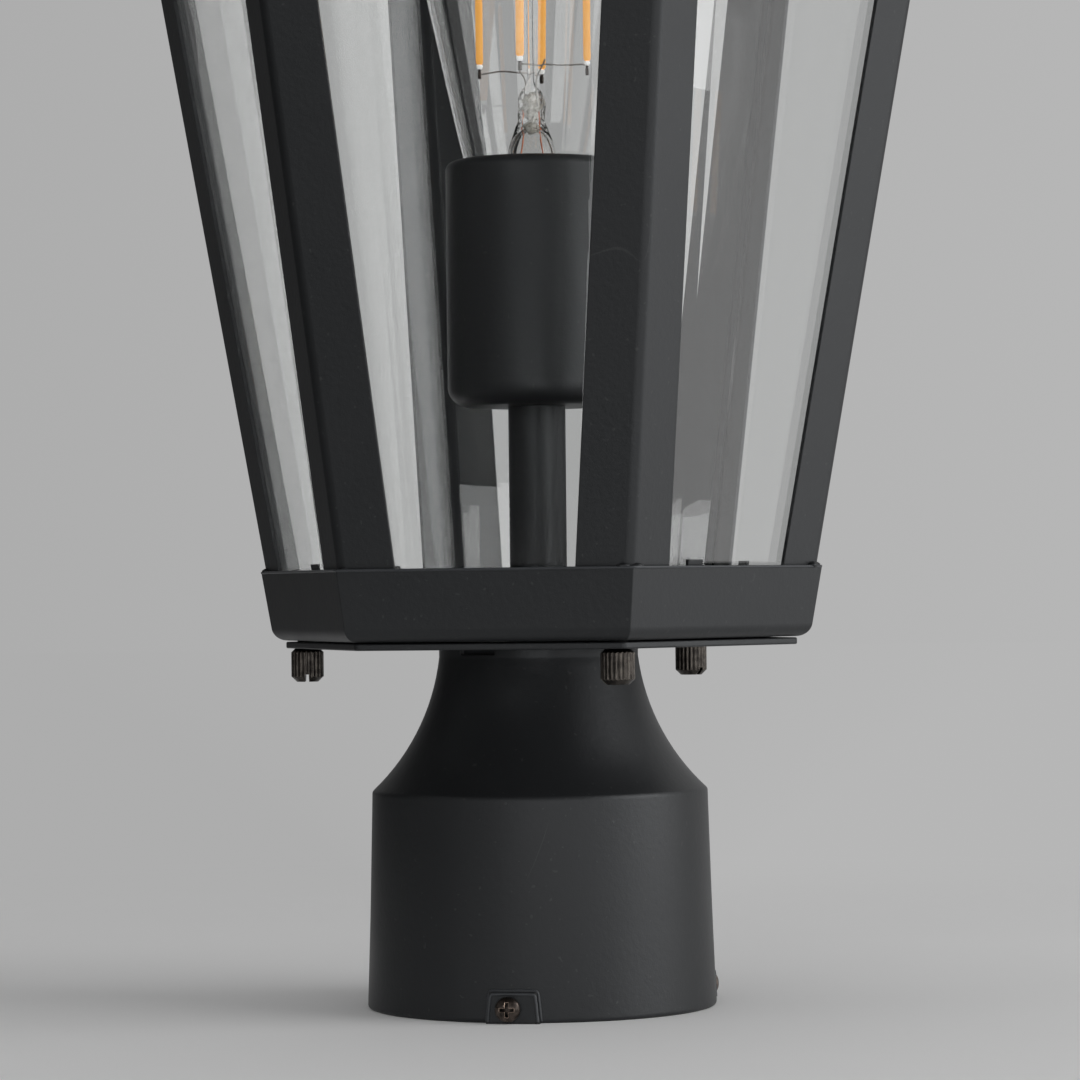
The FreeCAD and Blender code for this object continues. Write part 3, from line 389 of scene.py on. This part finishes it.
def oval_ring(bm, centre, reach_x, reach_y, sides, turn=0.0, shape=2.0, crinkle=0.0):
    """Vertices round a flat oval. A shape above 2 squares it, and crinkle dents it."""
    ring = []
    for step in range(sides):
        angle = math.tau * step / sides
        across, along = math.cos(angle), math.sin(angle)
        squared = (abs(across) ** shape + abs(along) ** shape) ** (-1 / shape)
        dent = 1 + crinkle * (math.sin(5 * angle + 900 * centre.z) + 0.6 * math.sin(9 * angle))
        spot = Vector((reach_x * across * squared * dent, reach_y * along * squared * dent, 0))
        ring.append(bm.verts.new(centre + Matrix.Rotation(turn, 3, "Z") @ spot))
    return ring


def bridge(bm, low, high):
    """Faces between two rings of one count."""
    for step in range(len(low)):
        after = (step + 1) % len(low)
        bm.faces.new((low[step], low[after], high[after], high[step]))


def skin(bm, rings):
    """Faces between neighbouring rings, and a cap at each end."""
    for low, high in zip(rings, rings[1:]):
        bridge(bm, low, high)
    bm.faces.new(list(reversed(rings[0])))
    bm.faces.new(rings[-1])


def finished_mesh(name, bm):
    """The mesh of a bmesh, its faces turned outwards and smooth."""
    bmesh.ops.recalc_face_normals(bm, faces=bm.faces)
    for face in bm.faces:
        face.smooth = True
    mesh = bpy.data.meshes.new(name)
    bm.to_mesh(mesh)
    bm.free()
    return mesh


# ---------------------------------------------------------------- lamp
LAMP = "bulb"
FILAMENT_SIZE = (1.9 * MM, 1.7 * MM)         # along the circle, like the solid, and across it
FILAMENT_ANGLES = (0, 90, 180, 270)
FILAMENT_LEANS = (0.4, -1.0, 0.0, 0.3)       # degrees that each one's head leans along the circle
FILAMENT_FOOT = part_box("bulb_filaments")[0].z
FILAMENT_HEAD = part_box("bulb_filaments")[1].z
FILAMENT_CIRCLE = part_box("bulb_filaments")[1].x - FILAMENT_SIZE[0] / 2
FILAMENT_STEPS = 24
WIRE_RADIUS = 0.2 * MM
LEAD_RADIUS = 0.18 * MM
FRONT_JOINT = (4.4, 325, 0.7)                # where a pair of filaments meets its lead:
BACK_JOINT = (4.6, 135, 2.0)                 # radius, degrees, drop below the filaments' feet
MOUNT_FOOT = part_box("bulb_mount")[0].z
PINCH_FOOT, PINCH_HEAD = 24, 34              # millimetres above the mount's foot
PINCH_DENTS = 0.075


def filament_centre(number, height):
    """A filament's centre at a height, with its lean."""
    angle = math.radians(FILAMENT_ANGLES[number])
    reach = FILAMENT_CIRCLE
    sideways = (height - FILAMENT_FOOT) * math.tan(math.radians(FILAMENT_LEANS[number]))
    return Vector((reach * math.cos(angle) - sideways * math.sin(angle),
                   reach * math.sin(angle) + sideways * math.cos(angle), height))


def make_filaments(materials):
    """Four coated strips with rounded ends and a slightly uneven coat."""
    bm = bmesh.new()
    length = FILAMENT_HEAD - FILAMENT_FOOT
    # each level's distance from the end, and its share of the full thickness
    ends = ((0.0, 0.45), (0.1 * MM, 0.72), (0.35 * MM, 0.93), (0.8 * MM, 1.0))
    middle = [(length * step / FILAMENT_STEPS, 1 + 0.03 * math.sin(2.4 * step))
              for step in range(1, FILAMENT_STEPS)]
    levels = [*ends, *middle, *((length - rise, swell) for rise, swell in reversed(ends))]
    for number, degrees in enumerate(FILAMENT_ANGLES):
        rings = [oval_ring(bm, filament_centre(number, FILAMENT_FOOT + rise),
                           FILAMENT_SIZE[1] / 2 * swell, FILAMENT_SIZE[0] / 2 * swell, 20,
                           math.radians(degrees), 3.0) for rise, swell in levels]
        skin(bm, rings)
    piece = add_piece("lamp_filaments", finished_mesh("lamp_filaments", bm), LAMP,
                      materials["filament"])
    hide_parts("bulb_filaments")


def make_filament_tabs(materials):
    """A metal tab out of each end of each filament, and the pale bead that holds it."""
    # distance out from the filament's end, and half the width there, in millimetres
    tab = ((-0.4, 0.35), (0.2, 0.4), (1.8, 0.42), (2.1, 0.52), (3.3, 0.5), (3.5, 0.3))
    bead = ((0.02, 0.45), (0.15, 0.74), (0.45, 0.82), (0.85, 0.66), (1.15, 0.42), (1.4, 0.12))
    for name, levels, thin, crinkle, slot, finish in (
            ("lamp_filament_tabs", tab, 0.8, 0.0, "wire_metal", "burnt_tab"),
            ("lamp_filament_beads", bead, 0.95, 0.05, "solder", "silver_paste")):
        bm = bmesh.new()
        for number, degrees in enumerate(FILAMENT_ANGLES):
            for end, outwards in ((FILAMENT_FOOT, -1), (FILAMENT_HEAD, 1)):
                skin(bm, [oval_ring(bm, filament_centre(number, end + outwards * out * MM),
                                    thin * half * MM, half * MM, 14, math.radians(degrees), 2.5,
                                    crinkle) for out, half in levels])
        add_piece(name, finished_mesh(name, bm), LAMP, materials[finish])


def foot_route(points):
    """A wire's route through points given as radius, degrees and drop below the filaments' feet."""
    return [around(reach, degrees, FILAMENT_FOOT / MM - drop) for reach, degrees, drop in points]


def make_lamp_wires(materials):
    """Foot wires that join two filaments each and a lead, and head wires out from the rod."""
    reach, head = FILAMENT_CIRCLE / MM, FILAMENT_HEAD / MM
    front_pair = foot_route((
        (reach, 270, 0.9), (reach, 270, 1.9), (10.5, 278, 1.7), (6.0, 305, 1.5), FRONT_JOINT,
        (8.0, 347, 1.2), (11.5, 357, 0.8), (reach, 0, 1.0)))
    back_pair = foot_route((
        (reach, 180, 2.4), (11.6, 178, 2.3), (8.0, 165, 1.4), BACK_JOINT, (7.0, 108, 1.6),
        (11.0, 93, 1.9), (reach, 90, 1.2)))
    front_lead = foot_route((
        (1.7, 350, 12), (1.5, 330, 8), (1.6, 330, 5), (2.2, 327, 3), FRONT_JOINT, (4.9, 325, -0.4)))
    back_lead = foot_route((
        (1.7, 178, 12), (1.5, 160, 8), (1.6, 155, 5), (2.4, 145, 3.4), BACK_JOINT, (5.2, 134, 1.5)))
    spokes = []
    for number, degrees in enumerate(FILAMENT_ANGLES):
        tip = filament_centre(number, FILAMENT_HEAD + 1.2 * MM)
        spokes.append([*(around(out, degrees, head + rise) for out, rise in (
            (0.4, 2.0), (4.0, 2.6), (9.0, 2.3), (12.0, 1.9))), tip])
    piece = wire_piece("lamp_wires", [front_pair, back_pair, front_lead, back_lead, *spokes],
                       WIRE_RADIUS, LAMP, materials["wire_metal"])
    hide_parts("bulb_wires")


def mount_rings(bm, levels):
    """Rings of the mount at heights above its foot, dented in the pinch."""
    rings = []
    for rise, wide, deep in levels:
        dents = PINCH_DENTS if PINCH_FOOT < rise < PINCH_HEAD else 0.0
        rings.append(oval_ring(bm, Vector((0, 0, MOUNT_FOOT + rise * MM)), wide * MM, deep * MM, 40,
                               0.0, 2.2, dents))
    return rings


def make_lamp_mount(materials):
    """The glass mount: a hollow flare, a flat crinkled pinch and a thin rod with a button on top."""
    bm = bmesh.new()
    # height above the mount's foot, half the width and half the depth, in millimetres
    outer = mount_rings(bm, (
        (0, 7.5, 7.5), (3, 7.1, 7.1), (8, 6.5, 6.5), (13, 6.1, 6.1), (17, 5.85, 5.85),
        (19.5, 5.6, 5.5), (21.5, 5.1, 4.7), (23.3, 4.4, 3.6), (24.8, 3.7, 2.6), (26.2, 3.3, 2.0),
        (28, 3.15, 1.75), (30, 3.2, 1.7), (32, 3.1, 1.7), (33.4, 2.6, 1.6), (34.6, 1.7, 1.3),
        (35.8, 1.1, 1.0), (37, 0.95, 0.95), (50, 0.9, 0.9), (70, 0.9, 0.9), (77, 0.95, 0.95),
        (78.3, 1.5, 1.5), (79.4, 1.75, 1.75), (80.2, 1.3, 1.3), (80.45, 0.5, 0.5)))
    inner = mount_rings(bm, (
        (24.6, 0.9, 0.7), (23.8, 2.1, 1.4), (22.6, 3.2, 2.4), (21.0, 4.2, 3.8), (19.3, 4.75, 4.65),
        (17, 5.05, 5.05), (13, 5.3, 5.3), (8, 5.7, 5.7), (3, 6.3, 6.3), (0, 6.7, 6.7)))
    for first, second in (*zip(outer, outer[1:]), *zip(inner, inner[1:]), (inner[-1], outer[0])):
        bridge(bm, first, second)
    bm.faces.new(outer[-1])
    bm.faces.new(inner[0])
    piece = add_piece("lamp_mount", finished_mesh("lamp_mount", bm), LAMP,
                      materials["mount_glass"])
    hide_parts("bulb_mount")


def make_lamp_seal(materials):
    """The crumpled core of the pinch, full of tiny bubbles and folds."""
    bm = bmesh.new()
    # height above the mount's foot, half the width and half the depth, in millimetres
    levels = (
        (23.2, 0.7, 0.4), (23.9, 1.7, 0.8), (24.9, 2.3, 1.1), (25.8, 1.7, 0.9), (26.9, 2.35, 1.15),
        (28.0, 1.8, 1.0), (29.2, 2.3, 1.1), (30.3, 2.0, 1.0), (31.4, 2.35, 1.05), (32.4, 1.6, 0.9),
        (33.2, 0.8, 0.5))
    rings = []
    for number, (rise, wide, deep) in enumerate(levels):
        shift = Vector((0.35 * math.sin(2.1 * number), 0.1 * math.cos(3.3 * number), rise)) * MM
        rings.append(oval_ring(bm, Vector((0, 0, MOUNT_FOOT)) + shift, wide * MM, deep * MM, 28,
                               0.5 * number, 2.0, 0.16))
    skin(bm, rings)
    add_piece("lamp_seal", finished_mesh("lamp_seal", bm), LAMP,
              materials["seal_glass"])


def make_lamp_leads(materials):
    """Inside the flare: the two copper leads up into the pinch."""
    # radius, and height above the mount's foot, in millimetres
    points = ((4.0, 1), (3.6, 8), (3.0, 17), (2.1, 22), (1.9, 26), (1.7, 29))
    routes = [[around(reach, side, MOUNT_FOOT / MM + rise) for reach, rise in points]
              for side in (0, 180)]
    wire_piece("lamp_leads", routes, LEAD_RADIUS, LAMP, materials["copper"])


def make_lamp(materials):
    make_filaments(materials)
    make_filament_tabs(materials)
    make_lamp_wires(materials)
    make_lamp_mount(materials)
    make_lamp_seal(materials)
    make_lamp_leads(materials)


# ---------------------------------------------------------------- small details of the metalwork
SIDES = 6
PADS = 3
FITTER_TURN = 2.6            # degrees from -Y to the first screw pad
PAD_FACE = 43.1              # millimetres from the axis, like the skirt behind the pads
SKIRT_AT_PADS = 42.05
LIP_RADIUS = 0.36 * MM
PAN_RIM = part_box("lower_pan")[1].z / MM
PAN_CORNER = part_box("lower_pan")[1].x / MM
ROLL_RADIUS = 0.32 * MM
ROLL_DROP = 0.28             # millimetres from the pan's rim down to the middle of the roll
ROLL_BEND = 2.5 * MM         # length of the roll's bend on each side of a corner
BEAD_INSET = 1.9             # millimetres from the pan's corner to the beads


def arch(half):
    """A symmetric outline from foot to foot, given from one foot to its middle."""
    return [(-across, rise) for across, rise in half] + list(reversed(half[:-1]))


def make_pad_rims(materials):
    """A raised lip round each screw pad's face, and the rounded joint of the pad and the skirt."""
    # distance across the pad from its middle, and height, in millimetres
    lip = arch(((5.85, 0.5), (5.45, 4.6), (5.25, 6.75), (4.2, 6.85), (0.0, 6.85)))
    root = arch(((6.4, 0.5), (5.9, 6.0), (5.6, 7.4), (4.4, 7.5), (0.0, 7.5)))
    routes = []
    for number in range(PADS):
        turned = Matrix.Rotation(math.radians(FITTER_TURN + 360 / PADS * number), 3, "Z")
        routes.append([turned @ Vector((across, -PAD_FACE, rise)) * MM for across, rise in lip])
        routes.append([
            turned @ Vector((across, -math.sqrt(SKIRT_AT_PADS ** 2 - across ** 2), rise)) * MM
            for across, rise in root])
    # the lips are in the lighter coat that paints their highlight
    wire_piece("fitter_pad_rims", routes, LIP_RADIUS, "base",
               materials["highlight_coat"])


def pan_corner(number):
    """The middle of the pan's rolled edge at a corner."""
    return around(PAN_CORNER, 360 / SIDES * number, PAN_RIM - ROLL_DROP)


def make_pan_rim(materials):
    """The pan's rolled upper edge, in a lighter copy of the coat that paints its highlight."""
    seam = (pan_corner(0) + pan_corner(-1)) / 2
    route = [seam]
    for number in range(SIDES):
        here, before, after = (pan_corner(number + step) for step in (0, -1, 1))
        share = ROLL_BEND / (here - before).length
        route += [here.lerp(before, share), here, here.lerp(after, share)]
    wire_piece("pan_rim_roll", [[*route, seam]], ROLL_RADIUS, "cage",
               materials["highlight_coat"])


def make_pan_beads(materials):
    """Small beads of weld and paint where the corner posts stand on the pan's rim."""
    bm = bmesh.new()
    # height above the rim, and half the width there, in millimetres
    levels = ((-0.6, 0.8), (-0.1, 1.25), (0.35, 1.15), (0.7, 0.7), (0.85, 0.25))
    for corner in range(SIDES):
        degrees = 360 / SIDES * corner
        size = 0.75 + 0.25 * math.cos(2.3 * corner)
        for side in (-1.6, 1.4):
            centre = around(PAN_CORNER - BEAD_INSET, degrees + side * size, PAN_RIM)
            skin(bm, [oval_ring(bm, centre + Vector((0, 0, rise * size * MM)), half * size * MM,
                                1.5 * half * size * MM, 16, math.radians(degrees), 2.0, 0.06)
                      for rise, half in levels])
    add_piece("pan_weld_beads", finished_mesh("pan_weld_beads", bm), "cage",
              materials["black_coat"])


# ---------------------------------------------------------------- studio
BACKDROP = 0.443             # grey of the backdrop, as the camera sees it
BACKDROP_LEAN = 0.026        # how much lighter it gets towards the camera's right
LEAN_STEEPNESS = 7           # the lean is full at one seventh of the way to the side
FLOOR_GREY = 0.84
FLOOR_RADIUS = 6.0           # metres, like all lengths of the studio
FADE_START, FADE_END = 0.18, 0.5      # distances from the axis where the floor turns to backdrop
ROOM_LIGHT = 0.37
ROOM_DARK = 0.03             # grey of the room's dark side in gloss
LIGHTS = (
    # name, degrees from the camera, distance, lower and upper edge, width, radiance, height aimed at
    ("key", 73, 1.5, 0.05, 1.2, 1.35, 2.7, 0.2),
    ("low_key", 80, 1.5, -0.6, 0.34, 1.6, 0.75, 0.2),
    ("front_low", 14, 2.0, -0.5, 0.25, 2.6, 2.1, 0.05),
    ("front_high", 10, 2.0, 0.3, 1.7, 2.2, 0.35, 0.2),
    ("window", -26, 1.6, 0.42, 0.68, 0.35, 3.0, 0.2),
    ("left_front", -44, 2.0, 0.05, 0.4, 0.9, 0.9, 0.2),
    ("left_fill", -75, 1.8, 0.3, 1.6, 1.2, 0.25, 0.2),
    ("top", 180, 0.5, 2.2, 3.6, 1.4, 0.5, 0.2),
)


def camera_side(tree, direction):
    """How far a direction points to the camera's right (x) and away from the camera (y)."""
    turned = add(tree, "ShaderNodeVectorRotate", {
        "Vector": direction, "Axis": (0, 0, 1), "Angle": -math.radians(CAMERA_AZIMUTH)})
    return add(tree, "ShaderNodeSeparateXYZ", {0: turned.outputs[0]})


def backdrop_colour(tree, direction):
    """The backdrop's grey: a little lighter to the right."""
    side = camera_side(tree, direction).outputs["X"]
    lean = sum_of(tree, sum_of(tree, side, BACKDROP_LEAN * LEAN_STEEPNESS, "MULTIPLY"), BACKDROP)
    shade = add(tree, "ShaderNodeClamp", {
        "Value": lean, "Min": BACKDROP - BACKDROP_LEAN, "Max": BACKDROP + BACKDROP_LEAN})
    return add(tree, "ShaderNodeCombineColor", {
        "Red": shade.outputs[0], "Green": shade.outputs[0], "Blue": shade.outputs[0]}).outputs[0]


def room_colour(tree, direction):
    """What gloss shows: the backdrop behind and to the right, and a dark room elsewhere."""
    side = camera_side(tree, direction)
    right = sum_of(tree, side.outputs["X"], 0.5, "MULTIPLY")
    away = sum_of(tree, side.outputs["Y"], 0.5, "MULTIPLY")
    return ramp(tree, sum_of(tree, right, away), [(0.08, ROOM_DARK), (0.5, BACKDROP)])


def ray_kinds(tree):
    """Factors for rays that show the backdrop straight or through glass, and for mirrored ones."""
    path = add(tree, "ShaderNodeLightPath")
    scattered = sum_of(tree, path.outputs["Diffuse Depth"], 1.0, "MINIMUM")
    mirrored = sum_of(tree, path.outputs["Glossy Depth"], 1.0, "MINIMUM")
    direct = sum_of(tree, 1.0, sum_of(tree, scattered, mirrored, "MAXIMUM"), "SUBTRACT")
    gloss = sum_of(tree, mirrored, sum_of(tree, 1.0, scattered, "SUBTRACT"), "MULTIPLY")
    return direct, gloss


def make_world():
    """Dim light all round, and the studio for every ray that shows it."""
    world = bpy.data.worlds.new("studio")
    SCENE.world = world
    world.use_nodes = True
    tree = world.node_tree
    tree.nodes.clear()
    output = tree.nodes.new("ShaderNodeOutputWorld")
    direction = add(tree, "ShaderNodeTexCoord").outputs["Generated"]
    direct, gloss = ray_kinds(tree)
    mirrored = add(tree, "ShaderNodeBackground", {"Color": room_colour(tree, direction)})
    dim = add(tree, "ShaderNodeBackground", {"Color": rgba(0.9), "Strength": ROOM_LIGHT})
    shown = add(tree, "ShaderNodeBackground", {"Color": backdrop_colour(tree, direction)})
    choice = joined(tree, direct, joined(tree, gloss, dim, mirrored), shown)
    tree.links.new(choice.outputs[0], output.inputs["Surface"])


def floor_paint():
    """Pale paint near the lantern. Further out, rays that show the studio see the backdrop instead."""
    made, tree, output = new_material("floor_paint")
    place = place_of(tree)
    cloud = noise(tree, place, 6.0, 3.0)
    base = ramp(tree, cloud, [(0.3, FLOOR_GREY), (0.7, FLOOR_GREY * 1.02)])
    shader = add(tree, "ShaderNodeBsdfPrincipled", {
        "Base Color": base, "Roughness": 0.8, "Specular IOR Level": 0.2})
    reach = add(tree, "ShaderNodeVectorMath", {0: place}, operation="LENGTH").outputs["Value"]
    far = add(tree, "ShaderNodeMapRange", {
        "Value": reach, "From Min": FADE_START, "From Max": FADE_END},
        interpolation_type="SMOOTHSTEP").outputs[0]
    direct, gloss = ray_kinds(tree)
    seen = sum_of(tree, direct, gloss)
    towards = add(tree, "ShaderNodeVectorMath", {0: place}, operation="NORMALIZE").outputs[0]
    clear = add(tree, "ShaderNodeBsdfTransparent")
    backdrop = add(tree, "ShaderNodeEmission", {"Color": backdrop_colour(tree, towards)})
    beyond = joined(tree, direct, clear, backdrop)
    choice = joined(tree, sum_of(tree, far, seen, "MULTIPLY"), shader, beyond)
    tree.links.new(choice.outputs[0], output.inputs["Surface"])
    return made


def make_floor():
    """A pale floor that takes the lantern's shadow and turns into the studio further out."""
    mesh = bpy.data.meshes.new("floor")
    bm = bmesh.new()
    bmesh.ops.create_circle(bm, cap_ends=True, segments=96, radius=FLOOR_RADIUS)
    bm.to_mesh(mesh)
    bm.free()
    floor = bpy.data.objects.new("floor", mesh)
    SCENE.collection.objects.link(floor)
    mesh.materials.append(floor_paint())


def make_light(name, azimuth, reach, low, high, width, radiance, aim):
    """A soft box between two heights, at an azimuth from the camera, turned to the lantern."""
    data = bpy.data.lights.new(name, "AREA")
    data.shape = "RECTANGLE"
    data.size = width
    data.size_y = high - low
    data.energy = radiance * math.pi * width * (high - low)
    lamp = bpy.data.objects.new(name, data)
    SCENE.collection.objects.link(lamp)
    angle = math.radians(CAMERA_AZIMUTH + azimuth)
    lamp.location = (reach * math.sin(angle), -reach * math.cos(angle), (low + high) / 2)
    lamp.rotation_mode = "QUATERNION"
    towards = Vector((0, 0, aim)) - lamp.location
    lamp.rotation_quaternion = towards.to_track_quat("-Z", "Y")


make_camera()
make_world()
make_floor()
for light in LIGHTS:
    make_light(*light)
MATERIALS = make_materials()
dress_nodes(MATERIALS)
make_lamp(MATERIALS)
make_pad_rims(MATERIALS)
make_pan_rim(MATERIALS)
make_pan_beads(MATERIALS)

SCENE.view_settings.view_transform = "Standard"
